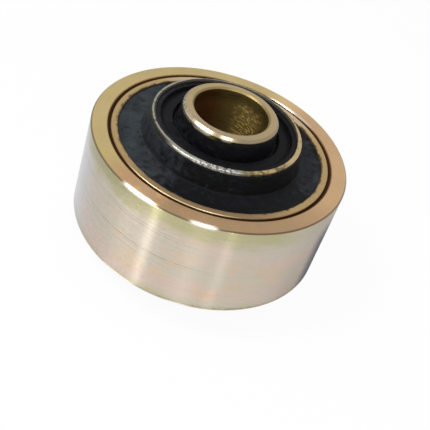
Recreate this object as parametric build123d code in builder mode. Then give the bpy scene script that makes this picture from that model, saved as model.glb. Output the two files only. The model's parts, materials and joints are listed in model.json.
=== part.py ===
from build123d import *
import os

# Bonded rubber and metal bush in its turned steel ring.
# All sizes are millimetres. The origin is the middle of the bush on the axis of its bore, and +Z runs
# along the bore. The two ends are alike. The layers are given from the bore outwards.

# Inner sleeve, the thick tube that takes the bolt or pin
bore_diameter = 30.0
inner_sleeve_wall = 4.3
inner_sleeve_standout = 15.2  # how far each end stands out of the ring's face
inner_sleeve_edge_chamfer = 1.0
inner_sleeve_bore_chamfer = 0.85

# Inner rubber, between the inner and the intermediate sleeve
inner_rubber_thickness = 9.3
shelf_drop = 0.7  # shelf under the rim of the intermediate sleeve, down from that rim
shelf_width = 1.9
step_depth = 1.8  # step at the foot of the shelf, down from the shelf
step_width = 0.5
ridge_drop = 2.0  # crest of the ridge round the groove, down from the rim
ridge_offset = 2.5  # from the inner sleeve out to the crest
groove_depth = 1.9  # bottom of the groove, down from the crest
groove_side = 0.9  # radial run from the crest to the bottom of the groove
skirt_thickness = 0.8  # rubber skirt on the inner sleeve, at its foot
skirt_lip = 0.4  # the same skirt at its top
bare_end_length = 2.8  # bare metal of the inner sleeve beyond the skirt

# Intermediate sleeve, the thin tube between the two rubber layers
intermediate_sleeve_wall = 2.0
intermediate_sleeve_standout = 9.0
intermediate_rim_chamfer = 0.3

# Outer rubber, between the intermediate and the outer sleeve
outer_rubber_thickness = 11.15
bond_recess = 0.7  # rubber below the end of the outer sleeve where it is bonded
collar_foot = 2.1  # collar on the intermediate sleeve, radial thickness at its foot
collar_top = 0.7  # the same collar at its top
collar_bare = 1.3  # bare metal between the top of the collar and the rim
collar_rise = 0.2  # foot of the collar above the end of the outer sleeve
lip_chamfer = 0.3  # broken edge round the top of the collar

# Outer sleeve, pressed into the ring
outer_sleeve_wall = 3.25
outer_sleeve_setback = 0.15  # each end of the sleeve below the ring's face
outer_sleeve_edge_chamfer = 0.2
outer_sleeve_bore_chamfer = 0.3

# Turned ring round the bush
ring_wall = 7.5
ring_height = 41.5
ring_edge_chamfer = 0.6
ring_bore_chamfer = 0.8

# Radii of the layers, worked out from the bore outwards
bore_radius = bore_diameter / 2
inner_sleeve_radius = bore_radius + inner_sleeve_wall
intermediate_bore_radius = inner_sleeve_radius + inner_rubber_thickness
intermediate_sleeve_radius = intermediate_bore_radius + intermediate_sleeve_wall
outer_bore_radius = intermediate_sleeve_radius + outer_rubber_thickness
outer_sleeve_radius = outer_bore_radius + outer_sleeve_wall
ring_radius = outer_sleeve_radius + ring_wall

# Heights of the ends above the middle of the bush
ring_face = ring_height / 2
outer_sleeve_end = ring_face - outer_sleeve_setback
intermediate_sleeve_end = ring_face + intermediate_sleeve_standout
inner_sleeve_end = ring_face + inner_sleeve_standout


# Turned ring: an annulus with its outer and inner edges chamfered
with BuildPart() as outer_ring:
    with BuildSketch(Plane.XY.offset(-ring_face)):
        Circle(ring_radius)
        Circle(outer_sleeve_radius, mode=Mode.SUBTRACT)
    extrude(amount=ring_height)
    ring_edges = outer_ring.edges().filter_by(GeomType.CIRCLE).group_by(SortBy.RADIUS)
    chamfer(ring_edges[-1], ring_edge_chamfer)
    ring_edges = outer_ring.edges().filter_by(GeomType.CIRCLE).group_by(SortBy.RADIUS)
    chamfer(ring_edges[0], ring_bore_chamfer)
outer_ring.part.label = "outer_ring"

# Outer sleeve: a tube flush with the ring, whose lead-in chamfer makes the dark line round the face
with BuildPart() as outer_sleeve:
    with BuildSketch(Plane.XY.offset(-outer_sleeve_end)):
        Circle(outer_sleeve_radius)
        Circle(outer_bore_radius, mode=Mode.SUBTRACT)
    extrude(amount=2 * outer_sleeve_end)
    sleeve_edges = outer_sleeve.edges().filter_by(GeomType.CIRCLE).group_by(SortBy.RADIUS)
    chamfer(sleeve_edges[-1], outer_sleeve_edge_chamfer)
    sleeve_edges = outer_sleeve.edges().filter_by(GeomType.CIRCLE).group_by(SortBy.RADIUS)
    chamfer(sleeve_edges[0], outer_sleeve_bore_chamfer)
outer_sleeve.part.label = "outer_sleeve"

# Intermediate sleeve: a thin tube with its rims broken inside and outside
with BuildPart() as intermediate_sleeve:
    with BuildSketch(Plane.XY.offset(-intermediate_sleeve_end)):
        Circle(intermediate_sleeve_radius)
        Circle(intermediate_bore_radius, mode=Mode.SUBTRACT)
    extrude(amount=2 * intermediate_sleeve_end)
    chamfer(intermediate_sleeve.edges().filter_by(GeomType.CIRCLE), intermediate_rim_chamfer)
intermediate_sleeve.part.label = "intermediate_sleeve"

# Inner sleeve: a thick tube with a through bore, chamfered for the bolt and for the fork
with BuildPart() as inner_sleeve:
    with BuildSketch(Plane.XY.offset(-inner_sleeve_end)):
        Circle(inner_sleeve_radius)
        Circle(bore_radius, mode=Mode.SUBTRACT)
    extrude(amount=2 * inner_sleeve_end)
    tube_edges = inner_sleeve.edges().filter_by(GeomType.CIRCLE).group_by(SortBy.RADIUS)
    chamfer(tube_edges[-1], inner_sleeve_edge_chamfer)
    tube_edges = inner_sleeve.edges().filter_by(GeomType.CIRCLE).group_by(SortBy.RADIUS)
    chamfer(tube_edges[0], inner_sleeve_bore_chamfer)
inner_sleeve.part.label = "inner_sleeve"

# Outer rubber: half of its section is drawn above the middle plane, mirrored, and turned round the bore.
# From the outer sleeve inwards the end is a broad annulus, then a collar up the intermediate sleeve.
with BuildPart() as outer_rubber:
    with BuildSketch(Plane.XZ) as outer_section:
        with BuildLine():
            outer_bond = Line((outer_bore_radius, 0), (outer_bore_radius, outer_sleeve_end - bond_recess))
            foot = (intermediate_sleeve_radius + collar_foot, outer_sleeve_end + collar_rise)
            annulus = Line(outer_bond @ 1, foot)
            collar_end = intermediate_sleeve_end - collar_bare
            collar = Line(annulus @ 1, (intermediate_sleeve_radius + collar_top, collar_end))
            lip = Line(collar @ 1, (intermediate_sleeve_radius, collar_end))
            inner_bond = Line(lip @ 1, (intermediate_sleeve_radius, 0))
            Line(inner_bond @ 1, outer_bond @ 0)
        make_face()
        chamfer(outer_section.vertices().sort_by_distance(collar @ 1)[0], lip_chamfer)
        mirror(about=Plane.XZ)
    revolve(axis=Axis.Z)
outer_rubber.part.label = "outer_rubber"

# Inner rubber: drawn and turned in the same way. From the intermediate sleeve inwards the end is a shelf
# under the rim, a step, a slope up to a ridge, a groove, and a skirt up the inner sleeve.
with BuildPart() as inner_rubber:
    with BuildSketch(Plane.XZ) as inner_section:
        with BuildLine():
            shelf_height = intermediate_sleeve_end - shelf_drop
            shelf_edge = intermediate_bore_radius - shelf_width
            crest = (inner_sleeve_radius + ridge_offset, intermediate_sleeve_end - ridge_drop)
            groove = (crest[0] - groove_side, crest[1] - groove_depth)
            skirt_end = inner_sleeve_end - bare_end_length
            rim_bond = Line((intermediate_bore_radius, 0), (intermediate_bore_radius, shelf_height))
            shelf = Line(rim_bond @ 1, (shelf_edge, shelf_height))
            step = Line(shelf @ 1, (shelf_edge - step_width, shelf_height - step_depth))
            slope = Line(step @ 1, crest)
            groove_wall = Line(slope @ 1, groove)
            skirt_foot = Line(groove, (inner_sleeve_radius + skirt_thickness, groove[1]))
            skirt = Line(skirt_foot @ 1, (inner_sleeve_radius + skirt_lip, skirt_end))
            skirt_top = Line(skirt @ 1, (inner_sleeve_radius, skirt_end))
            tube_bond = Line(skirt_top @ 1, (inner_sleeve_radius, 0))
            Line(tube_bond @ 1, rim_bond @ 0)
        make_face()
        mirror(about=Plane.XZ)
    revolve(axis=Axis.Z)
inner_rubber.part.label = "inner_rubber"

os.makedirs("parts", exist_ok=True)
export_step(outer_ring.part, "parts/outer_ring.step")
export_step(outer_sleeve.part, "parts/outer_sleeve.step")
export_step(outer_rubber.part, "parts/outer_rubber.step")
export_step(intermediate_sleeve.part, "parts/intermediate_sleeve.step")
export_step(inner_rubber.part, "parts/inner_rubber.step")
export_step(inner_sleeve.part, "parts/inner_sleeve.step")
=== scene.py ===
"""A bonded rubber and metal bush in its turned ring, dressed for a plain studio picture.

Lengths in the classes are millimetres, and meshes are made in metres. The bush stands on one end of its
inner sleeve, with the bore upright along Z and the middle of the bush at the origin.
"""

import json
import logging
import math
from abc import ABC, abstractmethod
from dataclasses import dataclass
from enum import Enum
from typing import Sequence, Union

import bpy
import numpy as np
from mathutils import Matrix, Vector


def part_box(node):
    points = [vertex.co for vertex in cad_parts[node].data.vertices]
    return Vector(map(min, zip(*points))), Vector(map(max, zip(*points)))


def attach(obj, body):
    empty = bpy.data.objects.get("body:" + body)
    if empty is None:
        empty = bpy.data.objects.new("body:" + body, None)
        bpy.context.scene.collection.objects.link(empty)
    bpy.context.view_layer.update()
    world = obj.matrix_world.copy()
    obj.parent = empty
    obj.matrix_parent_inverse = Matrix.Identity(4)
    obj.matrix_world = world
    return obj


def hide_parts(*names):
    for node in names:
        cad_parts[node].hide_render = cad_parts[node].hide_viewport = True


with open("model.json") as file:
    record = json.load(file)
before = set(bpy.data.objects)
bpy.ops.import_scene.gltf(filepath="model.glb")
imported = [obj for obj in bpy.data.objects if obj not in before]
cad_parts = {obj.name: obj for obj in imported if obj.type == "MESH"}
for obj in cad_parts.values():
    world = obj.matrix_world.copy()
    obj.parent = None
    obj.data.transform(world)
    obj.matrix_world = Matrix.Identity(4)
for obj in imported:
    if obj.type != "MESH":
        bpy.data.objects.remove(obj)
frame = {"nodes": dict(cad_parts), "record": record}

LOG = logging.getLogger("bush")
Colour = tuple[float, float, float]
MM = 0.001

# The width of the picture and of the camera's sensor.
PICTURE_PX = 430
SENSOR_MM = 36.0

# The stretches of a long wall, the points on a rounded corner and the cosines in a relief.
WALL_STEP = 1.5
CURVE_POINTS = 6
WAVE_COUNT = 28

# The uneven ends of the rubber: two reliefs, how far both are lowered, and the fade beside a bonded wall.
SOFT_BROAD = 0.12
SOFT_FINE = 0.05
SOFT_DROP = 0.08
SOFT_FADE = 0.4

# Plating: its highlights are drawn out across the turning marks, and it mirrors little at its edge.
QUARTER_TURN = 0.25
PLATING_SPECULAR = 0.15


def srgb(red: int, green: int, blue: int) -> Colour:
    """Turns a colour as seen on a screen into scene-linear light.

    Args:
        red: Red from 0 to 255.
        green: Green from 0 to 255.
        blue: Blue from 0 to 255.

    Returns:
        The three linear channels, each from 0 to 1.
    """
    channels = np.array([red, green, blue]) / 255
    linear = np.where(channels <= 0.04045, channels / 12.92, ((channels + 0.055) / 1.055) ** 2.4)
    return tuple(float(channel) for channel in linear)


class Slot(Enum):
    """Names for the pieces' finishes; the script reads them but gives them to no material slot."""

    RING = "ring_plating"
    OUTER_SLEEVE = "outer_sleeve_plating"
    OUTER_RUBBER = "outer_rubber"
    INTERMEDIATE_SLEEVE = "intermediate_sleeve_plating"
    INNER_RUBBER = "inner_rubber"
    INNER_SLEEVE = "inner_sleeve_plating"


class Num:
    """A number that varies over a surface: a shader socket that takes part in arithmetic."""

    def __init__(self, graph: "Graph", socket: bpy.types.NodeSocket) -> None:
        """Keeps the socket and the graph that its sums are added to."""
        self.graph = graph
        self.socket = socket

    def _sum(self, operation: str, *values: "Value") -> "Num":
        """Adds one Math node.

        Args:
            operation: The Math node's operation.
            values: Its inputs in order.

        Returns:
            The node's result.
        """
        node = self.graph.node("ShaderNodeMath", {"operation": operation}, dict(enumerate(values)))
        return Num(self.graph, node.outputs[0])

    def __add__(self, other: "Value") -> "Num":
        """Adds."""
        return self._sum("ADD", self, other)

    def __radd__(self, other: "Value") -> "Num":
        """Adds, with the number first."""
        return self._sum("ADD", other, self)

    def __sub__(self, other: "Value") -> "Num":
        """Subtracts."""
        return self._sum("SUBTRACT", self, other)

    def __rsub__(self, other: "Value") -> "Num":
        """Subtracts from a number."""
        return self._sum("SUBTRACT", other, self)

    def __mul__(self, other: "Value") -> "Num":
        """Multiplies."""
        return self._sum("MULTIPLY", self, other)

    def __rmul__(self, other: "Value") -> "Num":
        """Multiplies, with the number first."""
        return self._sum("MULTIPLY", other, self)

    def __truediv__(self, other: "Value") -> "Num":
        """Divides."""
        return self._sum("DIVIDE", self, other)

    def __abs__(self) -> "Num":
        """Drops the sign."""
        return self._sum("ABSOLUTE", self)

    def sqrt(self) -> "Num":
        """Takes the square root."""
        return self._sum("SQRT", self)

    def cos(self) -> "Num":
        """Takes the cosine of an angle in radians."""
        return self._sum("COSINE", self)

    def sin(self) -> "Num":
        """Takes the sine of an angle in radians."""
        return self._sum("SINE", self)

    def at_least(self, other: "Value") -> "Num":
        """Takes the larger of two."""
        return self._sum("MAXIMUM", self, other)

    def rise(self, low: float, high: float) -> "Num":
        """Goes smoothly from 0 to 1.

        Args:
            low: The value where the rise starts. It may be the larger one, for a fall.
            high: The value where it ends.

        Returns:
            A mask from 0 to 1.
        """
        turned = low > high
        ends = {1: min(low, high), 2: max(low, high), 3: float(turned), 4: float(not turned)}
        node = self.graph.node("ShaderNodeMapRange", {"interpolation_type": "SMOOTHSTEP"}, {0: self, **ends})
        return Num(self.graph, node.outputs[0])

    def swing(self, share: "Value") -> "Num":
        """Turns a number about 0.5 into one about 0, times a share."""
        return (self - 0.5) * share

    def near(self, centre: "Value", reach: float) -> "Num":
        """Makes a soft mask that is 1 at a value and 0 beyond its reach."""
        return abs(self - centre).rise(reach, 0.0)


Value = Union[Num, float]
Tint = Union[Colour, bpy.types.NodeSocket]


@dataclass(frozen=True)
class Place:
    """Where a point of a surface lies, in millimetres and as a direction round the bore."""

    point: bpy.types.NodeSocket
    z: Num
    radius: Num
    east: Num
    north: Num

    def facing(self, azimuth_deg: float) -> Num:
        """Gives the cosine of the angle round the bore from a direction."""
        angle = math.radians(azimuth_deg)
        return self.east * math.cos(angle) + self.north * math.sin(angle)


class Graph:
    """The node tree of a material or of the world."""

    def __init__(self, owner: bpy.types.Material | bpy.types.World) -> None:
        """Empties the owner's node tree."""
        owner.use_nodes = True
        self.owner = owner
        self.tree = owner.node_tree
        self.tree.nodes.clear()

    @classmethod
    def of_material(cls, name: str) -> "Graph":
        """Starts a new material of that name."""
        return cls(bpy.data.materials.new(name))

    def node(self, kind: str, settings: dict | None = None, sockets: dict | None = None) -> bpy.types.Node:
        """Adds a node.

        Args:
            kind: The node's type.
            settings: Its properties, which are set first.
            sockets: Values or links of its inputs, by name or number.

        Returns:
            The node.
        """
        made = self.tree.nodes.new(kind)
        for name, value in (settings or {}).items():
            setattr(made, name, value)
        for key, value in (sockets or {}).items():
            if isinstance(value, Num):
                value = value.socket
            if isinstance(value, bpy.types.NodeSocket):
                self.tree.links.new(value, made.inputs[key])
            elif isinstance(value, tuple) and len(made.inputs[key].default_value) > len(value):
                made.inputs[key].default_value = (*value, 1.0)
            else:
                made.inputs[key].default_value = value
        return made

    def place(self) -> Place:
        """Reads the object's own coordinates, in millimetres."""
        coordinates = self.node("ShaderNodeTexCoord").outputs["Object"]
        parts = self.node("ShaderNodeSeparateXYZ", sockets={0: coordinates}).outputs
        x, y, z = (Num(self, part) / MM for part in parts)
        radius = (x * x + y * y).sqrt().at_least(0.001)
        return Place(self.vector(x, y, z), z, radius, x / radius, y / radius)

    def vector(self, x: Value, y: Value, z: Value) -> bpy.types.NodeSocket:
        """Joins three numbers into a vector."""
        return self.node("ShaderNodeCombineXYZ", sockets={0: x, 1: y, 2: z}).outputs[0]

    def noise(
        self, vector: bpy.types.NodeSocket, scale: float, detail: float = 3.0, rough: float = 0.55
    ) -> Num:
        """Makes a cloudy pattern.

        Args:
            vector: Where the pattern is read.
            scale: How many clouds fit in one unit of the vector.
            detail: How many finer layers it has.
            rough: How strong the finer layers are.

        Returns:
            A number about 0.5, from 0 to 1.
        """
        sockets = {"Vector": vector, "Scale": scale, "Detail": detail, "Roughness": rough}
        return Num(self, self.node("ShaderNodeTexNoise", sockets=sockets).outputs[0])

    def streaks(
        self, at: Place, around: float, across: Num, detail: float = 3.0, rough: float = 0.55
    ) -> Num:
        """Makes a cloudy pattern that is drawn out round the bore.

        Args:
            at: The place on the surface.
            around: How many clouds fit in one radian, about.
            across: The number that counts the clouds the other way.
            detail: How many finer layers it has.
            rough: How strong the finer layers are.

        Returns:
            A number about 0.5, from 0 to 1.
        """
        return self.noise(self.vector(at.east * around, at.north * around, across), 1.0, detail, rough)

    def climbing(self, at: Place, turn: float, pitch: float) -> Num:
        """Makes fine lines that climb round the bore like a screw.

        The pattern is a noise read at the direction from the bore, which is first turned by an angle in
        proportion to the height.

        Args:
            at: The place on the surface.
            turn: The turn of each millimetre of height, in radians.
            pitch: How many lines fit in one radian, about.

        Returns:
            A number about 0.5, from 0 to 1.
        """
        angle = at.z * turn
        east = at.east * angle.cos() - at.north * angle.sin()
        north = at.north * angle.cos() + at.east * angle.sin()
        return self.noise(self.vector(east * pitch, north * pitch, at.z * 0.22), 1.0, 2.0, 0.6)

    def blend(self, first: Tint, second: Tint, share: Value) -> bpy.types.NodeSocket:
        """Blends two colours by a share of the second."""
        settings = {"data_type": "RGBA", "clamp_factor": True}
        return self.node("ShaderNodeMix", settings, {0: share, 6: first, 7: second}).outputs[2]

    def shade(self, tint: Tint, light: Value) -> bpy.types.NodeSocket:
        """Multiplies a colour by a number."""
        sockets = {0: tint, 3: light}
        return self.node("ShaderNodeVectorMath", {"operation": "SCALE"}, sockets).outputs[0]

    def bump(self, height: Num, distance_mm: float) -> bpy.types.NodeSocket:
        """Turns a height of 0 to 1 into a normal.

        Args:
            height: The height.
            distance_mm: How high 1 stands.

        Returns:
            The bent normal.
        """
        sockets = {"Height": height, "Distance": distance_mm * MM, "Strength": 1.0}
        return self.node("ShaderNodeBump", sockets=sockets).outputs[0]

    def white_share(self, camera: float, mirrored: float) -> Num:
        """Says how much of its own white a surface shows to the ray that reaches it.

        Args:
            camera: The share for a ray from the camera.
            mirrored: The share for a ray off metal or through glass.

        Returns:
            That share, and 0 for every other ray.
        """
        path = self.node("ShaderNodeLightPath").outputs
        kinds = ("Camera", "Glossy", "Transmission")
        straight, glossy, clear = (Num(self, path[f"Is {name} Ray"]) for name in kinds)
        return straight * camera + glossy.at_least(clear) * mirrored

    def finish(self, **sockets: object) -> bpy.types.Material:
        """Ends the tree in one Principled shader.

        Args:
            sockets: The shader's inputs, with underscores for spaces.

        Returns:
            The finished material.
        """
        named = {name.replace("_", " "): value for name, value in sockets.items()}
        shader = self.node("ShaderNodeBsdfPrincipled", sockets=named)
        self.node("ShaderNodeOutputMaterial", sockets={"Surface": shader.outputs[0]})
        return self.owner


@dataclass(frozen=True)
class Corner:
    """A corner of a section: its radius from the bore's axis, its height and how it is rounded.

    The run that leaves the corner is divided into stretches of at most `step`.
    """

    r: float
    z: float
    round: float = 0.0
    step: float = 1.5


def closed_section(corners: Sequence[Corner]) -> np.ndarray:
    """Turns corners into the points of a closed section.

    Each rounded corner is the quadratic curve (1-t)^2 A + 2t(1-t) C + t^2 B, where C is the corner and A and
    B lie on its two runs at the rounding's distance. The runs between are straight.

    Args:
        corners: The corners, anticlockwise with the radius to the right and the height up.

    Returns:
        An array of radius and height, one row a point, in millimetres.
    """
    places = np.array([(corner.r, corner.z) for corner in corners])
    ahead = np.roll(places, -1, axis=0) - places
    length = np.linalg.norm(ahead, axis=1)
    leaving = ahead / length[:, None]
    arriving = np.roll(leaving, 1, axis=0)
    rounds = np.array([corner.round for corner in corners])
    share = np.linspace(0, 1, CURVE_POINTS)[:, None]
    parts = []
    for index, corner in enumerate(corners):
        start = places[index] - arriving[index] * rounds[index]
        end = places[index] + leaving[index] * rounds[index]
        if rounds[index] > 0:
            curve = (1 - share) ** 2 * start + 2 * share * (1 - share) * places[index] + share**2 * end
            parts.append(curve)
        else:
            parts.append(places[index][None])
        following = (index + 1) % len(corners)
        run_end = places[following] - leaving[index] * rounds[following]
        run = np.linalg.norm(run_end - end)
        count = max(1, math.ceil(run / corner.step))
        inner = np.linspace(0, 1, count + 1)[1:-1, None]
        parts.append(end + inner * (run_end - end))
    return np.concatenate(parts)


def mirrored(upper: Sequence[Corner]) -> list[Corner]:
    """Completes a section from its upper half.

    Args:
        upper: The corners above the middle plane, anticlockwise, from the outside inwards.

    Returns:
        All corners, the lower ones mirrored, so that both ends are alike.
    """
    steps = [WALL_STEP] + [corner.step for corner in upper[:-1]]
    lower = [Corner(corner.r, -corner.z, corner.round, step) for corner, step in zip(upper, steps)]
    return list(upper) + lower[::-1]


def waves(angle: np.ndarray, along: np.ndarray, seed: int, turns: int, pitch: float) -> np.ndarray:
    """Makes a smooth random relief that closes on itself round the bore.

    It is a sum of cosines cos(m a + k s + p), with a whole number m of waves round the bore, a wave number k
    along the section and a phase p, all drawn at random, divided by twice the root of half their number.

    Args:
        angle: The angle round the bore, one a column.
        along: The distance along the section, one a row.
        seed: The seed of the draw.
        turns: The largest number of waves round the bore.
        pitch: The shortest wave along the section.

    Returns:
        The relief on the grid, about 0 and mostly between -1 and 1.
    """
    draw = np.random.default_rng(seed)
    around = draw.integers(1, turns + 1, WAVE_COUNT)
    across = draw.uniform(-1, 1, WAVE_COUNT) * 2 * np.pi / pitch
    phase = draw.uniform(0, 2 * np.pi, WAVE_COUNT)
    inside = around[:, None, None] * angle[None, None, :] + across[:, None, None] * along[None, :, None]
    return np.cos(inside + phase[:, None, None]).sum(0) / math.sqrt(WAVE_COUNT / 2) / 2


@dataclass
class TurnedSurface:
    """A closed surface swept round the bore: a grid of radius and height, one row a section point."""

    radius: np.ndarray
    height: np.ndarray
    angle: np.ndarray

    @classmethod
    def sweep(cls, section: np.ndarray, steps: int) -> "TurnedSurface":
        """Carries a section round the bore.

        Args:
            section: Radius and height of each point of the closed section.
            steps: How many places there are round the bore.

        Returns:
            The surface, the same at every angle.
        """
        angle = np.arange(steps) * 2 * np.pi / steps
        radius = np.repeat(section[:, :1], steps, axis=1)
        height = np.repeat(section[:, 1:], steps, axis=1)
        return cls(radius, height, angle)

    def along(self) -> np.ndarray:
        """Gives the distance of each section point from the first, along the section."""
        section = np.stack([self.radius[:, 0], self.height[:, 0]], 1)
        steps = np.linalg.norm(np.diff(section, axis=0), axis=1)
        return np.concatenate([[0.0], np.cumsum(steps)])

    def push(self, relief: np.ndarray) -> None:
        """Moves every point along the section's outward normal.

        The normal is the section's direction, taken between a point's two neighbours and turned a quarter
        clockwise.

        Args:
            relief: How far each point of the grid moves, in millimetres.
        """
        step_r = np.roll(self.radius, -1, axis=0) - np.roll(self.radius, 1, axis=0)
        step_z = np.roll(self.height, -1, axis=0) - np.roll(self.height, 1, axis=0)
        length = np.maximum(np.hypot(step_r, step_z), 1e-9)
        self.radius = self.radius + relief * step_z / length
        self.height = self.height - relief * step_r / length

    def mesh(self, name: str) -> bpy.types.Object:
        """Makes the Blender object: x = r cos a, y = r sin a, z = height, closed both ways.

        Args:
            name: The object's name.

        Returns:
            The object, smooth, with its faces outwards.
        """
        rows, columns = self.radius.shape
        x = self.radius * np.cos(self.angle)
        y = self.radius * np.sin(self.angle)
        points = np.stack([x, y, self.height], -1).reshape(-1, 3) * MM
        row = np.arange(rows)[:, None]
        column = np.arange(columns)[None, :]
        next_row, next_column = (row + 1) % rows, (column + 1) % columns
        corners = [
            row * columns + column,
            row * columns + next_column,
            next_row * columns + next_column,
            next_row * columns + column,
        ]
        faces = np.stack(corners, -1).reshape(-1, 4)
        made = bpy.data.meshes.new(name)
        made.from_pydata(points, [], faces)
        made.polygons.foreach_set("use_smooth", np.ones(len(faces), bool))
        made.update()
        thing = bpy.data.objects.new(name, made)
        bpy.context.scene.collection.objects.link(thing)
        return thing


@dataclass(frozen=True)
class BushFrame:
    """The radii and heights of the bush, in millimetres, read from the fixed frame."""

    bore: float
    inner_sleeve: float
    intermediate_bore: float
    intermediate_sleeve: float
    outer_bore: float
    outer_sleeve: float
    ring: float
    ring_face: float
    outer_sleeve_end: float
    intermediate_end: float
    inner_end: float
    collar_end: float
    skirt_end: float

    @classmethod
    def read(cls) -> "BushFrame":
        """Reads the boxes of the nodes and the bore's mount.

        Returns:
            The sizes.
        """
        top = {name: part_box(name)[1] / MM for name in frame["nodes"]}
        bore = next(mount for mount in frame["record"]["mounts"] if mount["name"] == "bore")
        return cls(
            bore=bore["dims"]["r_mm"],
            inner_sleeve=top["inner_sleeve"].x,
            intermediate_bore=top["inner_rubber"].x,
            intermediate_sleeve=top["intermediate_sleeve"].x,
            outer_bore=top["outer_rubber"].x,
            outer_sleeve=top["outer_sleeve"].x,
            ring=top["outer_ring"].x,
            ring_face=top["outer_ring"].z,
            outer_sleeve_end=top["outer_sleeve"].z,
            intermediate_end=top["intermediate_sleeve"].z,
            inner_end=top["inner_sleeve"].z,
            collar_end=top["outer_rubber"].z,
            skirt_end=top["inner_rubber"].z,
        )


@dataclass
class Piece(ABC):
    """One physical piece of the bush."""

    sizes: BushFrame

    @property
    @abstractmethod
    def node(self) -> str:
        """The name of the frame's node that the piece stands for."""

    @property
    @abstractmethod
    def slot(self) -> Slot:
        """The name of its finish, which the script gives to nothing."""

    @abstractmethod
    def surface(self) -> TurnedSurface:
        """Works out the piece's surface."""

    @abstractmethod
    def finish(self) -> bpy.types.Material:
        """Makes the piece's material."""

    def build(self) -> bpy.types.Object:
        """Makes, dresses and seats the piece.

        Returns:
            The finished object, in place of its node.
        """
        thing = self.surface().mesh(f"{self.node}_turned")
        thing.data.materials.append(self.finish())
        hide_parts(self.node)
        self.slot.value
        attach(thing, "root")
        LOG.info("%s: %d faces", thing.name, len(thing.data.polygons))
        return thing


@dataclass(frozen=True)
class WornSpot:
    """A place round the bore where an edge is rubbed rounder."""

    azimuth_deg: float
    width_deg: float
    depth: float


def worn_edge(
    turned: TurnedSurface, edge_r: float, edge_z: float, reach: float, spots: Sequence[WornSpot]
) -> None:
    """Rubs an edge rounder at some places.

    Each spot takes away depth exp(-(a/w)^2) exp(-(d/k)^2), where a is the angle from the spot, w its width,
    d the distance of the section point from the sharp corner and k the reach.

    Args:
        turned: The surface.
        edge_r: Radius of the sharp corner.
        edge_z: Height of the sharp corner.
        reach: How far from the corner the wear goes.
        spots: The worn places.
    """
    distance = np.hypot(turned.radius - edge_r, turned.height - edge_z)
    relief = np.zeros_like(distance)
    for spot in spots:
        away = np.degrees(np.angle(np.exp(1j * (turned.angle - math.radians(spot.azimuth_deg)))))
        relief -= spot.depth * np.exp(-((away / spot.width_deg) ** 2)) * np.exp(-((distance / reach) ** 2))
    turned.push(relief)


@dataclass(frozen=True)
class Scribe:
    """A darker line turned into the ring's outside; reach is the cosine at which it is full."""

    height: float
    width: float
    depth: float
    middle_deg: float
    reach: float


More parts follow.
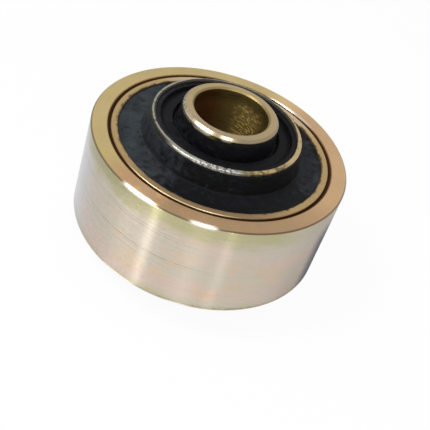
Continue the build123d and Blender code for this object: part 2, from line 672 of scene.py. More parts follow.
@dataclass
class TurnedRing(Piece):
    """The heavy ring that the bush is pressed into."""

    edge_chamfer: float = 0.6
    bore_break: float = 0.3
    groove_width: float = 0.9
    groove_depth: float = 1.3
    edge_round: float = 0.2
    steps: int = 512
    worn_spots: tuple[WornSpot, ...] = (
        WornSpot(-114.5, 5.5, 0.16),
        WornSpot(-113, 11, 0.04),
        WornSpot(-86, 4.5, 0.1),
    )
    worn_lip: tuple[WornSpot, ...] = (WornSpot(57, 9, 0.3),)
    face_gold: Colour = srgb(194, 173, 121)
    face_tan: Colour = srgb(176, 145, 110)
    face_pink: Colour = srgb(200, 164, 125)
    face_blush: Colour = srgb(208, 152, 112)
    edge_painted_reflection_olive: Colour = srgb(102, 86, 46)
    edge_painted_reflection_brown: Colour = srgb(98, 66, 36)
    worn_pale_and_painted_highlight: Colour = srgb(226, 214, 200)
    fleck_yellow: Colour = srgb(192, 174, 84)
    wall_silver: Colour = srgb(204, 194, 176)
    wall_khaki: Colour = srgb(186, 180, 136)
    wall_peach: Colour = srgb(218, 190, 160)
    wall_rose: Colour = srgb(214, 192, 178)
    wall_painted_dark_reflection: Colour = srgb(92, 96, 106)
    wall_painted_reflection_lavender: Colour = srgb(208, 208, 216)
    groove_brown: Colour = srgb(56, 32, 8)
    fringe_brown: Colour = srgb(140, 94, 50)
    scribes: tuple[Scribe, ...] = (
        Scribe(height=10.6, width=0.3, depth=0.3, middle_deg=-132, reach=0.95),
        Scribe(height=9.3, width=0.34, depth=0.3, middle_deg=-128, reach=0.96),
        Scribe(height=6.6, width=0.14, depth=0.25, middle_deg=-120, reach=0.97),
        Scribe(height=-0.8, width=0.36, depth=0.36, middle_deg=-126, reach=0.92),
        Scribe(height=-1.9, width=0.12, depth=0.25, middle_deg=-98, reach=0.9),
        Scribe(height=-4.0, width=0.3, depth=0.24, middle_deg=-138, reach=0.97),
        Scribe(height=-12.0, width=0.12, depth=0.25, middle_deg=-100, reach=0.93),
        Scribe(height=-19.4, width=0.6, depth=0.4, middle_deg=-60, reach=0.93),
    )

    node = "outer_ring"
    slot = Slot.RING

    def surface(self) -> TurnedSurface:
        """Sweeps a rectangle with broken edges and a narrow lead-in, then rubs its edges at some places."""
        s, face = self.sizes, self.sizes.ring_face
        lip = s.outer_sleeve + self.groove_width
        upper = [
            Corner(s.ring, face - self.edge_chamfer - 1.8, 0.0, 0.2),
            Corner(s.ring, face - self.edge_chamfer, self.edge_round, 0.2),
            Corner(s.ring - self.edge_chamfer, face, self.edge_round, 0.2),
            Corner(s.ring - self.edge_chamfer - 1.6, face, 0.0, 0.8),
            Corner(lip + 1.5, face, 0.0, 0.2),
            Corner(lip + self.bore_break, face, 0.12, 0.15),
            Corner(lip, face - self.bore_break, 0.12, 0.2),
            Corner(s.outer_sleeve, face - self.groove_depth, 0.0, 4.0),
        ]
        turned = TurnedSurface.sweep(closed_section(mirrored(upper)), self.steps)
        worn_edge(turned, s.ring, face, 0.8, self.worn_spots)
        worn_edge(turned, lip, face, 0.7, self.worn_lip)
        return turned

    def face_colour(self, graph: Graph, at: Place, rings: Num) -> bpy.types.NodeSocket:
        """Colours the flat faces: gold at the back, tan in front, pinker on one side, a few yellow flecks.

        Args:
            graph: The material's graph.
            at: The place on the surface.
            rings: The turning marks.

        Returns:
            The colour.
        """
        clouds = graph.noise(at.point, 0.045, 2.0)
        stains = graph.noise(at.point, 0.22, 4.0, 0.6)
        face = graph.blend(self.face_gold, self.face_tan, at.facing(-75).rise(0.35, 0.8))
        face = graph.blend(face, self.face_pink, at.facing(18).rise(0.45, 0.9) * 0.85)
        flecks = stains.rise(0.58, 0.68) * at.facing(-150).rise(0.5, 0.9)
        face = graph.blend(face, self.fleck_yellow, flecks * 0.55)
        blush = (clouds + stains).rise(0.95, 1.15) * at.facing(-112).rise(0.88, 0.99)
        face = graph.blend(face, self.face_blush, blush * 0.3)
        lip = self.sizes.outer_sleeve + self.groove_width
        fringe = at.radius.rise(lip + 0.6, lip) * (0.4 + stains * 0.5)
        fringe = fringe * (1 - at.facing(self.worn_lip[0].azimuth_deg).rise(0.93, 0.99))
        face = graph.blend(face, self.fringe_brown, fringe)
        return graph.shade(face, 0.98 + clouds.swing(0.2) + rings.swing(0.14) + stains.swing(0.14))

    def wall_colour(self, graph: Graph, at: Place, lines: Num) -> bpy.types.NodeSocket:
        """Colours the outside: silver with rose bands, khaki by the edge, scribed and finely lined, with
        painted reflections on its left and right and painted shade at the front left.

        Args:
            graph: The material's graph.
            at: The place on the surface.
            lines: The fine lines round the ring.

        Returns:
            The colour.
        """
        face = self.sizes.ring_face
        bands = graph.streaks(at, 1.6, at.z * 0.12, 3.0, 0.6)
        blots = graph.streaks(at, 3.2, at.z * 0.07, 3.0, 0.6)
        hatch = graph.streaks(at, 9.0, at.z * 1.1, 4.0, 0.7)
        pits = graph.streaks(at, 30.0, at.z * 0.9, 3.0, 0.7)
        bloom = graph.streaks(at, 5.0, at.z * 0.3, 3.0)
        low = at.z.rise(-2.0, -14.0)
        side = graph.blend(self.wall_silver, self.wall_rose, (bands + low * 0.12).rise(0.45, 0.68) * 0.8)
        # A pale lavender on the left side of the wall is a painted reflection.
        side = graph.blend(side, self.wall_painted_reflection_lavender, at.facing(-178).rise(0.72, 0.97) * 0.75)
        peach = blots.rise(0.5, 0.62) * at.facing(-80).rise(0.6, 0.95) * at.z.rise(8.0, 0.0)
        side = graph.blend(side, self.wall_peach, peach * 0.7)
        khaki = (at.z + bloom.swing(9.0)).rise(face - 10.0, face - 3.5)
        khaki = khaki * (1 - at.facing(-18).rise(0.78, 0.97) * 0.8)
        khaki = khaki * (1 - at.facing(-178).rise(0.86, 0.98) * 0.8)
        foot = (at.z - bloom.swing(8.0)).rise(-face + 5.0, -face + 1.0) * 0.45
        side = graph.blend(side, self.wall_khaki, (khaki * 0.95).at_least(foot))
        spots = (bloom + hatch).rise(1.08, 1.28) * at.z.rise(face - 9.0, face - 2.0)
        spots = spots * at.facing(-130).rise(0.5, 0.9)
        side = graph.blend(side, self.fleck_yellow, spots * 0.6)
        # A dark blue-grey patch on the right of the wall, lower down, is a painted dark reflection.
        painted_dark_reflection_mask = at.facing(-3).rise(0.885, 0.97) * at.z.rise(face - 3.0, face - 17.0)
        side = graph.blend(side, self.wall_painted_dark_reflection, painted_dark_reflection_mask)
        # Painted shade: the wall is darkened at the front left, most near the top edge.
        wall_painted_shade = at.z.rise(face - 7.0, face - 2.0) * at.facing(-142).rise(0.8, 0.98) * 0.14
        wall_painted_shade = wall_painted_shade + at.facing(-129).rise(0.85, 0.99) * 0.1
        pitted = pits.swing(0.12 + at.facing(-132).rise(0.6, 0.95) * 0.24)
        side = graph.shade(side, 1.0 - wall_painted_shade + lines.swing(0.18) + hatch.swing(0.14) + pitted)
        for scribe in self.scribes:
            arc = at.facing(scribe.middle_deg).rise(scribe.reach - 0.4, scribe.reach)
            broken = hatch.rise(0.36, 0.56) * 0.5 + pits.rise(0.46, 0.58)
            line = at.z.near(scribe.height + bloom.swing(0.5), scribe.width) * arc * broken
            side = graph.shade(side, 1 - line * scribe.depth)
        return side

    def finish(self) -> bpy.types.Material:
        """Makes yellow zinc plating over turning marks, gold on the faces and silver on the outside, with a
        painted dark reflection on the outer chamfer and a painted highlight where edges are rubbed.
        """
        graph = Graph.of_material("ring_zinc_plating")
        at = graph.place()
        s = self.sizes
        below = s.ring_face - self.edge_chamfer
        wall = abs(at.z).rise(below + 0.12, below - 0.05) * at.radius.rise(s.ring - 1.5, s.ring - 1.2)
        flat = s.ring - self.edge_chamfer
        edge = at.radius.rise(flat - 0.05, flat + 0.1) * (1 - wall)
        rings = graph.streaks(at, 1.2, at.radius * 5.0, 3.0)
        lines = graph.streaks(at, 1.5, at.z * 3.2, 4.0, 0.7)
        colour = graph.blend(self.face_colour(graph, at, rings), self.wall_colour(graph, at, lines), wall)
        # Where the outer edge is rubbed it is pale: partly wear, partly a painted highlight where the lamps
        # shine on it.
        corner = (at.radius + abs(at.z) - s.ring - s.ring_face).rise(-1.6, -0.8)
        first, last = at.facing(self.worn_spots[0].azimuth_deg), at.facing(self.worn_spots[-1].azimuth_deg)
        rubbed_and_painted_highlight = first.rise(0.985, 0.998).at_least(last.rise(0.993, 0.999)) * corner
        # The outer chamfer's colour is a painted dark reflection: olive round most of it, brown at the front
        # right.
        rim = graph.blend(self.edge_painted_reflection_olive, self.edge_painted_reflection_brown, at.facing(-40).rise(0.75, 0.9))
        colour = graph.blend(colour, rim, edge * 0.9)
        colour = graph.blend(colour, self.worn_pale_and_painted_highlight, rubbed_and_painted_highlight)
        lip = s.outer_sleeve + self.groove_width
        groove = at.radius.rise(lip + 0.02, lip - 0.04)
        # The far lip is pale too: wear and a painted highlight.
        worn = at.facing(self.worn_lip[0].azimuth_deg).rise(0.95, 0.99) * at.radius.rise(lip + 1.1, lip + 0.5)
        colour = graph.blend(colour, self.worn_pale_and_painted_highlight, worn * 0.8)
        colour = graph.blend(colour, self.groove_brown, groove)
        ripple = graph.streaks(at, 7.0, at.z * 0.3, 2.0)
        inner = at.radius.rise(lip + self.bore_break + 0.2, lip + self.bore_break)
        inner = inner * (1 + at.facing(98).rise(0.95, 0.99) * 2.0)
        worked = wall * 0.06 + inner * 0.14 + lines.swing(0.1) * wall
        return graph.finish(
            Base_Color=colour,
            Metallic=1 - groove * 0.9,
            Roughness=0.24 + worked + rubbed_and_painted_highlight * 0.16 + groove * 0.5,
            Specular_IOR_Level=PLATING_SPECULAR,
            Specular_Tint=(0.76, 0.77, 0.8),
            Normal=graph.bump((lines + ripple * 1.6) * wall + rings * (1 - wall) * (1 - worn), 0.01),
            Anisotropic=1.0,
            Anisotropic_Rotation=QUARTER_TURN,
            Coat_Weight=(wall * (1 - at.facing(-5).rise(0.7, 0.95)) * 0.7).at_least(edge),
            Coat_Roughness=0.22,
        )


@dataclass
class PressedSleeve(Piece):
    """The bush's outer sleeve, pressed into the ring and level with its faces."""

    edge_break: float = 0.2
    bore_chamfer: float = 0.3
    groove_width: float = 0.42
    groove_depth: float = 1.3
    edge_round: float = 0.12
    steps: int = 480
    face_gold: Colour = srgb(172, 146, 100)
    face_dark: Colour = srgb(152, 126, 94)
    bond_brown: Colour = srgb(66, 48, 32)
    bond_green: Colour = srgb(104, 98, 58)
    face_far: Colour = srgb(196, 172, 138)
    groove_brown: Colour = srgb(56, 32, 8)
    fringe_brown: Colour = srgb(128, 92, 56)
    lip_painted_highlight: Colour = srgb(196, 174, 132)

    node = "outer_sleeve"
    slot = Slot.OUTER_SLEEVE

    def surface(self) -> TurnedSurface:
        """Sweeps the sleeve's section, each end drawn in a little at the joint with the ring."""
        s, end = self.sizes, self.sizes.outer_sleeve_end
        lip = s.outer_sleeve - self.groove_width
        upper = [
            Corner(s.outer_sleeve, end - self.groove_depth),
            Corner(lip, end - self.edge_break, 0.08),
            Corner(lip - self.edge_break, end, 0.08, 0.6),
            Corner(s.outer_bore + self.bore_chamfer, end, self.edge_round),
            Corner(s.outer_bore, end - self.bore_chamfer, self.edge_round, 4.0),
        ]
        return TurnedSurface.sweep(closed_section(mirrored(upper)), self.steps)

    def finish(self) -> bpy.types.Material:
        """Makes dull plating, browned where the rubber is bonded, dark in the joint with the ring and with a
        painted highlight along the front of its lip.
        """
        graph = Graph.of_material("outer_sleeve_zinc_plating")
        at = graph.place()
        clouds = graph.noise(at.point, 0.06, 2.0)
        grain = graph.noise(at.point, 1.6, 4.0)
        rings = graph.streaks(at, 1.5, at.radius * 4.0, 3.0)
        colour = graph.blend(self.face_gold, self.face_dark, at.facing(-90).rise(0.5, 0.95))
        colour = graph.blend(colour, self.face_far, at.facing(85).rise(0.5, 0.9))
        spots = graph.noise(at.point, 0.9, 4.0, 0.7)
        colour = graph.shade(colour, 1.0 + clouds.swing(0.25) + rings.swing(0.16) + spots.swing(0.5))
        ragged = graph.noise(at.point, 0.3, 2.0)
        edge = self.sizes.outer_bore + 0.35 + ragged.swing(2.4) + spots.swing(1.8)
        smear = (at.radius - edge).rise(0.9, 0.0) * clouds.rise(0.4, 0.6)
        colour = graph.blend(colour, self.bond_green, smear * 0.6)
        stain = (at.radius - edge).rise(0.45, -0.3)
        colour = graph.blend(colour, self.bond_brown, stain * 0.9)
        lip = self.sizes.outer_sleeve - self.groove_width
        groove = at.radius.rise(lip - 0.02, lip + 0.04)
        lipped = at.radius.rise(lip - 0.4, lip - 0.15) * (1 - groove)
        # The front of the lip is pale and coated: a painted highlight.
        rubbed_and_painted_highlight = lipped * at.facing(-102).rise(0.82, 0.93)
        colour = graph.blend(colour, self.fringe_brown, lipped * 0.5)
        colour = graph.blend(colour, self.lip_painted_highlight, rubbed_and_painted_highlight * 0.8)
        colour = graph.blend(colour, self.groove_brown, groove)
        return graph.finish(
            Base_Color=colour,
            Metallic=1 - (groove * 0.9).at_least(stain * 0.6),
            Roughness=0.32 + grain.swing(0.2) + stain * 0.25 + rubbed_and_painted_highlight * 0.1 + groove * 0.5,
            Specular_IOR_Level=PLATING_SPECULAR,
            Normal=graph.bump(rings, 0.01),
            Anisotropic=0.5,
            Anisotropic_Rotation=QUARTER_TURN,
            Coat_Weight=rubbed_and_painted_highlight,
            Coat_Roughness=0.3,
        )


@dataclass
class IntermediateSleeve(Piece):
    """The thin sleeve between the two rubber layers, its rim worn and flecked with rubber."""

    rim_chamfer: float = 0.3
    edge_round: float = 0.14
    steps: int = 640
    worn_spots: tuple[WornSpot, ...] = (WornSpot(-115, 10, 0.3),)
    silver: Colour = srgb(160, 158, 146)
    scuffed: Colour = srgb(206, 204, 196)
    amber: Colour = srgb(190, 166, 122)
    olive: Colour = srgb(116, 106, 66)
    fleck_grey: Colour = srgb(80, 80, 80)
    film: Colour = srgb(42, 36, 25)

    node = "intermediate_sleeve"
    slot = Slot.INTERMEDIATE_SLEEVE

    def surface(self) -> TurnedSurface:
        """Sweeps the thin section, and roughens the rim where flecks of rubber sit on it."""
        s, end = self.sizes, self.sizes.intermediate_end
        upper = [
            Corner(s.intermediate_sleeve, end - self.rim_chamfer, self.edge_round, 0.2),
            Corner(s.intermediate_sleeve - self.rim_chamfer, end, self.edge_round, 0.15),
            Corner(s.intermediate_bore + self.rim_chamfer, end, self.edge_round, 0.2),
            Corner(s.intermediate_bore, end - self.rim_chamfer, self.edge_round, 4.0),
        ]
        turned = TurnedSurface.sweep(closed_section(mirrored(upper)), self.steps)
        worn_edge(turned, s.intermediate_sleeve, end, 0.9, self.worn_spots)
        worn = np.clip(np.cos(turned.angle - math.radians(-86)) * 10.0 - 9.0, 0, 1)
        rim = np.clip((np.abs(turned.height[:, :1]) - end + 0.8) / 0.6, 0, 1)
        relief = waves(turned.angle, turned.along(), seed=5, turns=48, pitch=1.6)
        turned.push(np.minimum(relief * 0.26 - 0.08, 0.0) * worn * rim)
        return turned

    def finish(self) -> bpy.types.Material:
        """Makes silver on one side, amber plating on the other, flecks between and a dark film inside."""
        graph = Graph.of_material("intermediate_sleeve_plating")
        at = graph.place()
        s = self.sizes
        grain = graph.noise(at.point, 0.6, 5.0, 0.65)
        clouds = graph.noise(at.point, 0.12, 3.0)
        blots = graph.noise(at.point, 0.3, 3.0)
        plated = (at.facing(-10) + clouds.swing(0.5)).rise(0.42, 0.68)
        colour = graph.blend(self.silver, self.amber, plated)
        soiled = at.facing(-50).rise(0.88, 0.97) * (blots + grain.swing(0.9)).rise(0.34, 0.56)
        colour = graph.blend(colour, self.olive, soiled * 0.95)
        rough = at.facing(-87).rise(0.93, 0.985)
        colour = graph.blend(colour, self.scuffed, rough * 0.8)
        coarse = graph.noise(at.point, 0.95, 2.0)
        flakes = (coarse + rough * 0.1).rise(0.6, 0.66) * rough
        flecks = (grain + rough * 0.06).rise(0.58, 0.66).at_least(flakes)
        colour = graph.blend(colour, self.fleck_grey, flecks * 0.85)
        left = at.facing(178).rise(0.2, 0.9)
        covered = left * 0.75 + at.facing(75).rise(0.2, 0.9) * 1.1
        film_edge = s.intermediate_bore + 0.15 + covered + grain.swing(0.8)
        dark = at.facing(-165).rise(0.7, 0.84)
        outside = (at.radius - s.intermediate_sleeve + 0.45 + grain.swing(0.6)).rise(-0.1, 0.15)
        film = (at.radius - film_edge).rise(0.12, -0.12).at_least(outside * dark)
        colour = graph.blend(colour, self.film, film)
        dull = (flecks * 0.7).at_least(film)
        return graph.finish(
            Base_Color=graph.shade(colour, 0.9 + clouds.swing(0.4)),
            Metallic=1 - dull * 0.9,
            Roughness=0.32 + grain.swing(0.3) + dull * 0.3 + rough * 0.1,
            Normal=graph.bump(grain, 0.03),
            Specular_IOR_Level=0.3,
        )


@dataclass
class InnerSleeve(Piece):
    """The thick tube with the through bore, which stands out furthest."""

    edge_chamfer: float = 1.1
    bore_chamfer: float = 0.85
    bore_depth: float = 0.6
    edge_round: float = 0.3
    bare_below: float = 0.1
    steps: int = 480
    worn_spots: tuple[WornSpot, ...] = (WornSpot(-114.5, 13, 0.3), WornSpot(-85, 8, 0.1))
    face_gold: Colour = srgb(170, 150, 108)
    face_rose: Colour = srgb(165, 145, 116)
    chamfer_pale: Colour = srgb(144, 129, 100)
    chamfer_dark: Colour = srgb(84, 78, 58)
    chamfer_rubbed_and_highlight: Colour = srgb(214, 208, 190)
    below_chamfer_black: Colour = srgb(16, 15, 13)
    below_chamfer_painted_reflection: Colour = srgb(74, 64, 32)
    bore_olive: Colour = srgb(162, 140, 80)
    bore_brown: Colour = srgb(150, 100, 58)
    entry_painted_shade: Colour = srgb(120, 104, 66)

    node = "inner_sleeve"
    slot = Slot.INNER_SLEEVE

    def surface(self) -> TurnedSurface:
        """Sweeps the thick section, a chamfer on each edge, and rubs two places of the outer one."""
        s, end = self.sizes, self.sizes.inner_end
        upper = [
            Corner(s.inner_sleeve, end - self.edge_chamfer - 2.2, 0.0, 0.25),
            Corner(s.inner_sleeve, end - self.edge_chamfer, self.edge_round, 0.2),
            Corner(s.inner_sleeve - self.edge_chamfer, end, self.edge_round, 0.25),
            Corner(s.bore + self.bore_chamfer, end, 0.15),
            Corner(s.bore, end - self.bore_depth, 0.4, 3.0),
        ]
        turned = TurnedSurface.sweep(closed_section(mirrored(upper)), self.steps)
        worn_edge(turned, s.inner_sleeve, end, 1.9, self.worn_spots)
        return turned

    def finish(self) -> bpy.types.Material:
        """Makes gold plating with turning rings on the end and scored lines round the bore; the bore has
        painted light at the back right and painted shade near its entry, and the outer chamfer a painted
        highlight.
        """
        graph = Graph.of_material("inner_sleeve_zinc_plating")
        at = graph.place()
        clouds = graph.noise(at.point, 0.1, 3.0)
        rings = graph.streaks(at, 1.5, at.radius * 4.5, 3.0)
        around = graph.streaks(at, 2.2, at.z * 1.9, 5.0, 0.7)
        slanted = at.z * 2.0 + at.facing(-32) * 5.0
        strokes = graph.streaks(at, 9.0, slanted, 2.0)
        crossing = graph.climbing(at, 0.1, 30.0).rise(0.52, 0.64) * at.z.rise(20.0, 14.0)
        honed = strokes.rise(0.5, 0.64) + crossing * 0.7
        s = self.sizes
        bore = at.radius.rise(s.bore + 0.12, s.bore + 0.03)
        flat = s.inner_sleeve - self.edge_chamfer
        chamfer = at.radius.rise(flat, flat + 0.3)
        face = graph.blend(self.face_gold, self.face_rose, at.facing(-95).rise(0.2, 0.9))
        rim = graph.blend(self.chamfer_pale, self.chamfer_dark, at.facing(165).rise(0.6, 0.98))
        stains = graph.noise(at.point, 0.35, 4.0, 0.65)
        flecks = graph.noise(at.point, 1.1, 4.0, 0.7)
        jagged = flecks.rise(0.44, 0.56) * at.facing(-152).rise(0.82, 0.97)
        # Pale at two places on the chamfer: partly wear, partly a painted highlight where the lamps shine.
        bared_and_painted_highlight = at.facing(-116).rise(0.965, 0.992).at_least(at.facing(-85).rise(0.99, 0.999) * 0.6)
        rim = graph.blend(rim, self.chamfer_rubbed_and_highlight, (jagged * 0.5).at_least(bared_and_painted_highlight * 0.6))
        face = graph.blend(face, rim, chamfer * 0.9)
        face = graph.shade(face, 0.98 + clouds.swing(0.2) + rings.swing(0.18) + stains.swing(0.24))
        # Below the outer chamfer the side is black and not metal, with a painted olive reflection just under
        # the chamfer at the front left.
        low = s.inner_end - self.edge_chamfer - self.bare_below
        left = at.facing(-156).rise(0.8, 0.97)
        ragged = clouds.swing(0.5) + flecks.swing(left) * 2.4 + left * 0.9 + bared_and_painted_highlight * 1.1
        black_below_chamfer = (abs(at.z) + ragged).rise(low + 0.15, low - 0.3) * (1 - bore)
        film = graph.blend(self.below_chamfer_black, self.below_chamfer_painted_reflection, at.facing(-112).rise(0.95, 0.99))
        face = graph.blend(face, film, black_below_chamfer)
        # In the bore, painted light: olive and brighter towards the back right, where the scored lines catch
        # painted glints, and painted shade near the entry.
        olive = (at.facing(35) + (clouds - 0.5)).rise(-0.2, 0.7)
        inside = graph.blend(self.bore_brown, self.bore_olive, olive)
        zone = at.facing(58) + clouds.swing(0.1) + around.swing(0.1)
        bore_painted_light = zone.rise(0.82, 0.98) * at.z.rise(s.inner_end - 1.5, s.inner_end - 9.0)
        bore_painted_shade = at.z.rise(s.inner_end - 8.0, s.inner_end - 3.0) * 0.24
        inside = graph.shade(inside, 0.48 - bore_painted_shade + around.swing(0.6) + bore_painted_light * (0.24 + honed * 1.5))
        # The bore's chamfer is darkened: painted shade that dims its highlight.
        entry = at.radius.rise(s.bore + self.bore_chamfer + 0.1, s.bore + self.bore_chamfer - 0.1)
        face = graph.blend(face, self.entry_painted_shade, entry * 0.6)
        worked = rings * (1 - bore) * at.radius.rise(s.inner_sleeve - 1.7, s.inner_sleeve - 2.4)
        return graph.finish(
            Base_Color=graph.blend(face, inside, bore),
            Metallic=1 - black_below_chamfer * 0.9,
            Roughness=0.26 + entry * 0.2 + bore * 0.1 + chamfer * 0.08 + rings.swing(0.08) + black_below_chamfer * 0.3,
            Normal=graph.bump(worked + (around + honed * 0.3) * bore, 0.04),
            Anisotropic=0.5,
            Anisotropic_Rotation=QUARTER_TURN,
            Specular_IOR_Level=PLATING_SPECULAR,
            Coat_Weight=chamfer * (1 - bore) * (1 - black_below_chamfer) * 0.4,
            Coat_Roughness=0.3,
        )


@dataclass(frozen=True)
class PaintedLightRing:
    """A ring of painted shade or painted light on the rubber: darker or paler than the dust makes it, all
    round or on the left only.
    """

    radius: float
    reach: float
    light: float
    one_sided: bool = False


@dataclass(frozen=True)
class Scuff:
    """A patch of pale marks on the rubber; spread is the least cosine of the angle from its direction."""

    azimuth_deg: float
    spread: float
    radius: float
    reach: float
    share: float


@dataclass(frozen=True)
class RubberFinish:
    """Matt black rubber with dust lying on it."""

    name: str
    black: Colour
    dust: Colour
    tint: Colour
    left: float
    right: float
    everywhere: float
    painted_light_rings: tuple[PaintedLightRing, ...] = ()
    scuffs: tuple[Scuff, ...] = ()
    scuff_grey: Colour = srgb(150, 152, 150)

    def material(self) -> bpy.types.Material:
        """Makes the rubber, dustier on its two sides, with a fine grain.

        Returns:
            The material.
        """
        graph = Graph.of_material(self.name)
        at = graph.place()
        clouds = graph.noise(at.point, 0.1, 3.0)
        patches = graph.noise(at.point, 0.42, 5.0, 0.6)
        grain = graph.noise(at.point, 3.0, 3.0)
        left, right = at.facing(-174).rise(0.05, 0.93), at.facing(6).rise(0.82, 0.99)
        sides = (left * self.left).at_least(right * self.right)
        dusty = (sides + self.everywhere + clouds.swing(1.2) + patches.swing(1.9)).rise(0.0, 1.0)
        colour = graph.blend(self.black, self.dust, dusty * 0.9)
        colour = graph.blend(colour, self.tint, (patches - clouds + 0.1).rise(0.05, 0.3) * 0.4)
        light = 0.85 + grain.swing(0.7) + patches.swing(0.5)
        # The rings of painted shade and painted light; the one-sided ones only on the left.
        side = at.facing(-165).rise(0.5, 0.95)
        for painted_ring in self.painted_light_rings:
            change = at.radius.near(painted_ring.radius, painted_ring.reach) * (painted_ring.light - 1)
            light = light * (1 + (change * side if painted_ring.one_sided else change))
        colour = graph.shade(colour, light)
        for scuff in self.scuffs:
            there = at.facing(scuff.azimuth_deg).rise(scuff.spread, scuff.spread + 0.05)
            marks = there * at.radius.near(scuff.radius, scuff.reach) + patches - 0.5
            colour = graph.blend(colour, self.scuff_grey, marks.rise(0.5, 0.62) * there * scuff.share)
        return graph.finish(
            Base_Color=colour,
            Roughness=0.62 + dusty * 0.2 + patches.swing(0.2),
            Normal=graph.bump(grain * 0.3 + patches, 0.12),
            Specular_IOR_Level=0.1,
        )


@dataclass
class OuterRubber(Piece):
    """The outer rubber layer: a dished annulus with a collar up the intermediate sleeve."""

    bond_recess: float = 0.7
    dish_depth: float = 0.4
    collar_foot: float = 2.1
    collar_top: float = 0.7
    collar_rise: float = 0.2
    steps: int = 480
    black: Colour = srgb(11, 12, 13)
    dust: Colour = srgb(61, 67, 71)
    tint: Colour = srgb(26, 24, 34)

    node = "outer_rubber"
    slot = Slot.OUTER_RUBBER

    def surface(self) -> TurnedSurface:
        """Sweeps the section, then adds a soft relief and an uneven line of bond."""
        s = self.sizes
        bond = s.outer_sleeve_end - self.bond_recess
        foot_r, foot_z = s.intermediate_sleeve + self.collar_foot, s.outer_sleeve_end + self.collar_rise
        middle = (s.outer_bore + foot_r) / 2
        upper = [
            Corner(s.outer_bore, bond, 0.25, 0.3),
            Corner(middle, (bond + foot_z) / 2 - self.dish_depth * 2, 3.4, 0.3),
            Corner(foot_r, foot_z, 0.5, 0.3),
            Corner(s.intermediate_sleeve + self.collar_top, s.collar_end, 0.25, 0.2),
            Corner(s.intermediate_sleeve, s.collar_end, 0.0, 4.0),
        ]
        turned = TurnedSurface.sweep(closed_section(mirrored(upper)), self.steps)
        turned.push(soft_relief(turned, s.outer_bore, s.intermediate_sleeve, seed=11))
        return turned

    def finish(self) -> bpy.types.Material:
        """Makes dusty rubber, with painted shade in the crease at the foot of the collar and on the annulus
        beside it.
        """
        foot_r = self.sizes.intermediate_sleeve + self.collar_foot
        finish = RubberFinish(
            name="outer_rubber_dusty",
            black=self.black,
            dust=self.dust,
            tint=self.tint,
            left=0.84,
            right=0.52,
            everywhere=-0.1,
            # Painted shade in the crease at the collar's foot and on the annulus beside it.
            painted_light_rings=(PaintedLightRing(foot_r - 0.1, 0.5, 0.6), PaintedLightRing(foot_r - 1.1, 1.4, 0.7)),
        )
        return finish.material()


@dataclass
class InnerRubber(Piece):
    """The inner rubber layer: a shelf, a step, a slope, a ridge, a groove and a skirt."""

    shelf_drop: float = 0.7
    shelf_width: float = 1.9
    step_depth: float = 1.8
    step_width: float = 0.5
    ridge_drop: float = 2.0
    ridge_offset: float = 2.5
    groove_depth: float = 1.9
    groove_side: float = 0.9
    skirt_thickness: float = 0.8
    skirt_lip: float = 0.4
    slope_crown: float = 0.3
    steps: int = 384
    black: Colour = srgb(10, 10, 12)
    dust: Colour = srgb(40, 42, 47)
    tint: Colour = srgb(20, 19, 28)

    node = "inner_rubber"
    slot = Slot.INNER_RUBBER

    def surface(self) -> TurnedSurface:
        """Sweeps the section from the rim inwards, with a hair of a crown on its slope, and adds a relief."""
        s = self.sizes
        shelf = s.intermediate_end - self.shelf_drop
        shelf_edge = s.intermediate_bore - self.shelf_width
        crest_r, crest_z = s.inner_sleeve + self.ridge_offset, s.intermediate_end - self.ridge_drop
        upper = [
            Corner(s.intermediate_bore, shelf, 0.2, 0.25),
            Corner(shelf_edge, shelf, 0.2, 0.2),
            Corner(shelf_edge - self.step_width, shelf - self.step_depth, 0.25, 0.25),
            Corner(crest_r + 2.0, crest_z + self.slope_crown - 0.2, 1.4, 0.25),
            Corner(crest_r, crest_z, 0.3, 0.25),
            Corner(crest_r - self.groove_side, crest_z - self.groove_depth, 0.3, 0.25),
            Corner(s.inner_sleeve + self.skirt_thickness, crest_z - self.groove_depth, 0.3, 0.3),
            Corner(s.inner_sleeve + self.skirt_lip, s.skirt_end, 0.15, 0.2),
            Corner(s.inner_sleeve, s.skirt_end, 0.0, 4.0),
        ]
        turned = TurnedSurface.sweep(closed_section(mirrored(upper)), self.steps)
        turned.push(soft_relief(turned, s.intermediate_bore, s.inner_sleeve, seed=23))
        return turned

    def finish(self) -> bpy.types.Material:
        """Makes darker rubber, with painted shade below the shelf, painted light on the left of the shelf and
        a painted highlight on the ridge.
        """
        rim = self.sizes.intermediate_bore
        shelf_edge = rim - self.shelf_width
        # Painted light on the left of the shelf, painted shade at the foot of the step and a painted
        # highlight on the ridge.
        shelf = PaintedLightRing(shelf_edge + 1.2, 1.4, 2.7, one_sided=True)
        foot = PaintedLightRing(shelf_edge - self.step_width - 0.3, 1.2, 0.3)
        ridge = PaintedLightRing(self.sizes.inner_sleeve + self.ridge_offset, 0.6, 2.6)
        finish = RubberFinish(
            name="inner_rubber_dusty",
            black=self.black,
            dust=self.dust,
            tint=self.tint,
            left=0.26,
            right=-0.1,
            everywhere=-0.08,
            painted_light_rings=(shelf, foot, ridge),
            scuffs=(Scuff(-92, 0.95, rim, 1.3, 0.8), Scuff(-92, 0.95, rim - 2.6, 1.0, 0.4)),
        )
        return finish.material()


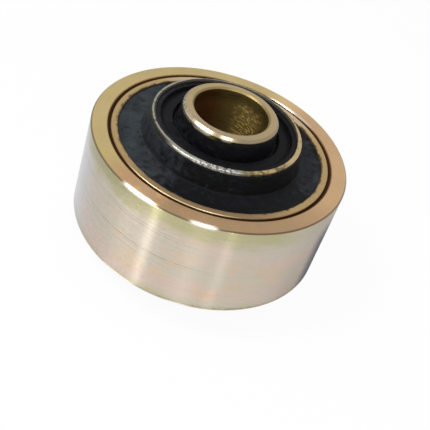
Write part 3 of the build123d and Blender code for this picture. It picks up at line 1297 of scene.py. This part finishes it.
def soft_relief(turned: TurnedSurface, outer: float, inner: float, seed: int) -> np.ndarray:
    """Works out the hand-made unevenness of a rubber end.

    It is a broad and a fine relief, faded to nothing at the two bonded walls, so that the rubber stays
    against its sleeves, and it only ever takes rubber away.

    Args:
        turned: The surface.
        outer: Radius of the outer bonded wall.
        inner: Radius of the inner bonded wall.
        seed: The seed of the broad relief; the fine one takes the next.

    Returns:
        The relief, in millimetres.
    """
    along = turned.along()
    broad = waves(turned.angle, along, seed, turns=9, pitch=7.0) * SOFT_BROAD
    fine = waves(turned.angle, along, seed + 1, turns=60, pitch=1.6) * SOFT_FINE
    free = np.clip((outer - turned.radius) / SOFT_FADE, 0, 1)
    free = free * np.clip((turned.radius - inner) / SOFT_FADE, 0, 1)
    return np.minimum(broad + fine - SOFT_DROP, 0.0) * free


@dataclass(frozen=True)
class StudioLamp:
    """A round soft lamp that looks at the bush from a direction."""

    name: str
    azimuth_deg: float
    elevation_deg: float
    distance: float
    size: float
    watts: float
    colour: Colour = (1.0, 1.0, 1.0)

    def hang(self) -> None:
        """Hangs the lamp and turns it to the middle of the bush."""
        azimuth, elevation = math.radians(self.azimuth_deg), math.radians(self.elevation_deg)
        level = math.cos(elevation)
        place = Vector((level * math.cos(azimuth), level * math.sin(azimuth), math.sin(elevation)))
        data = bpy.data.lights.new(self.name, "AREA")
        data.shape = "DISK"
        data.size = self.size
        data.energy = self.watts
        data.color = self.colour
        lamp = bpy.data.objects.new(self.name, data)
        lamp.location = place * self.distance
        lamp.rotation_euler = place.to_track_quat("Z", "Y").to_euler()
        bpy.context.scene.collection.objects.link(lamp)


@dataclass(frozen=True)
class Studio:
    """A pale floor under the bush, a white surround and soft lamps."""

    floor_z: float
    floor_half: float = 4.0
    ambient: float = 0.5
    camera_glow: float = 0.95
    mirrored_glow: float = 0.12
    floor_colour: Colour = (0.82, 0.82, 0.82)
    lamps: tuple[StudioLamp, ...] = (
        StudioLamp("key", -151, 54, 0.9, 0.3, 4.6),
        StudioLamp("second", -80, 50, 0.9, 0.15, 1.8),
        StudioLamp("spark", -118.5, 6, 0.9, 0.045, 1.0),
        StudioLamp("glint", -60, 6, 0.9, 0.05, 0.3),
    )

    def surround(self) -> None:
        """Makes the world: white where it is seen or mirrored, and a plain soft level elsewhere."""
        world = bpy.data.worlds.new("surround")
        bpy.context.scene.world = world
        graph = Graph(world)
        level = self.ambient + graph.white_share(1.0, 1.0) * (1 - self.ambient)
        light = graph.node("ShaderNodeBackground", sockets={"Color": (1.0, 1.0, 1.0), "Strength": level})
        graph.node("ShaderNodeOutputWorld", sockets={"Surface": light.outputs[0]})

    def floor(self) -> None:
        """Makes the pale floor, which glows white where it is seen and keeps a soft shadow."""
        half, height = self.floor_half, self.floor_z * MM
        corners = [(-half, -half, height), (half, -half, height), (half, half, height), (-half, half, height)]
        mesh = bpy.data.meshes.new("floor")
        mesh.from_pydata(corners, [], [(0, 1, 2, 3)])
        thing = bpy.data.objects.new("floor", mesh)
        bpy.context.scene.collection.objects.link(thing)
        graph = Graph.of_material("pale_floor")
        share = graph.white_share(self.camera_glow, self.mirrored_glow)
        matt = graph.node("ShaderNodeBsdfDiffuse", sockets={"Color": self.floor_colour})
        glow = graph.node("ShaderNodeEmission", sockets={"Color": (1.0, 1.0, 1.0), "Strength": 1.0})
        mixed = graph.node("ShaderNodeMixShader", sockets={0: share, 1: matt.outputs[0], 2: glow.outputs[0]})
        graph.node("ShaderNodeOutputMaterial", sockets={"Surface": mixed.outputs[0]})
        mesh.materials.append(graph.owner)

    def build(self) -> None:
        """Sets the floor, the surround and the lamps."""
        self.surround()
        self.floor()
        for lamp in self.lamps:
            lamp.hang()
        bpy.context.scene.view_settings.view_transform = "Standard"


@dataclass(frozen=True)
class PictureCamera:
    """The camera of the picture: it looks down on the ring's face, a little rolled.

    The picture is cut from the upper left of what the lens sees, so the lens looks at a point left of the
    picture's middle and above it. Lengths in pixels are those of a picture 430 pixels wide.
    """

    face_height: float
    elevation_deg: float = 34.684
    roll_deg: float = 18.874
    distance: float = 324.67
    focal_px: float = 814.4
    lens_right_px: float = -18.5
    lens_up_px: float = 54.5
    face_right_px: float = 25.1
    face_up_px: float = 19.74

    def turn(self) -> np.ndarray:
        """Works out the camera's axes.

        The axes start level, with the view along the ring's middle. They are rolled about the view, then
        turned a little, so that the face's middle falls at its place beside the point that the lens looks at.

        Returns:
            Rows of the camera's right, down and forward directions.
        """
        elevation, roll = math.radians(self.elevation_deg), math.radians(self.roll_deg)
        c, s = math.cos(elevation), math.sin(elevation)
        level = np.array([[1, 0, 0], [0, -s, -c], [0, c, -s]])
        c, s = math.cos(roll), math.sin(roll)
        rolled = np.array([[c, -s, 0], [s, c, 0], [0, 0, 1]])
        across = math.atan(self.face_right_px / self.focal_px)
        c, s = math.cos(across), math.sin(across)
        turned = np.array([[c, 0, s], [0, 1, 0], [-s, 0, c]])
        down = math.atan(-self.face_up_px / self.focal_px)
        c, s = math.cos(down), math.sin(down)
        tipped = np.array([[1, 0, 0], [0, c, s], [0, -s, c]])
        return tipped @ turned @ rolled @ level

    def place(self) -> None:
        """Makes the camera and gives it to the scene."""
        elevation = math.radians(self.elevation_deg)
        back = np.array([0, -math.cos(elevation), math.sin(elevation)])
        spot = (np.array([0, 0, self.face_height]) + back * self.distance) * MM
        right, down, forward = self.turn()
        data = bpy.data.cameras.new("picture")
        data.sensor_width = SENSOR_MM
        data.lens = self.focal_px / PICTURE_PX * SENSOR_MM
        data.shift_x = -self.lens_right_px / PICTURE_PX
        data.shift_y = -self.lens_up_px / PICTURE_PX
        data.clip_start = 0.01
        camera = bpy.data.objects.new("picture", data)
        matrix = np.eye(4)
        matrix[:3, :3] = np.stack([right, -down, -forward], 1)
        matrix[:3, 3] = spot
        camera.matrix_world = Matrix(matrix.tolist())
        bpy.context.scene.collection.objects.link(camera)
        bpy.context.scene.camera = camera


def main() -> None:
    """Builds the bush, the studio and the camera."""
    logging.basicConfig(level=logging.INFO, format="%(name)s: %(message)s")
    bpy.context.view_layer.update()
    sizes = BushFrame.read()
    for kind in (TurnedRing, PressedSleeve, OuterRubber, IntermediateSleeve, InnerRubber, InnerSleeve):
        kind(sizes).build()
    Studio(floor_z=-sizes.inner_end).build()
    PictureCamera(face_height=sizes.ring_face).place()


if __name__ == "__main__":
    main()
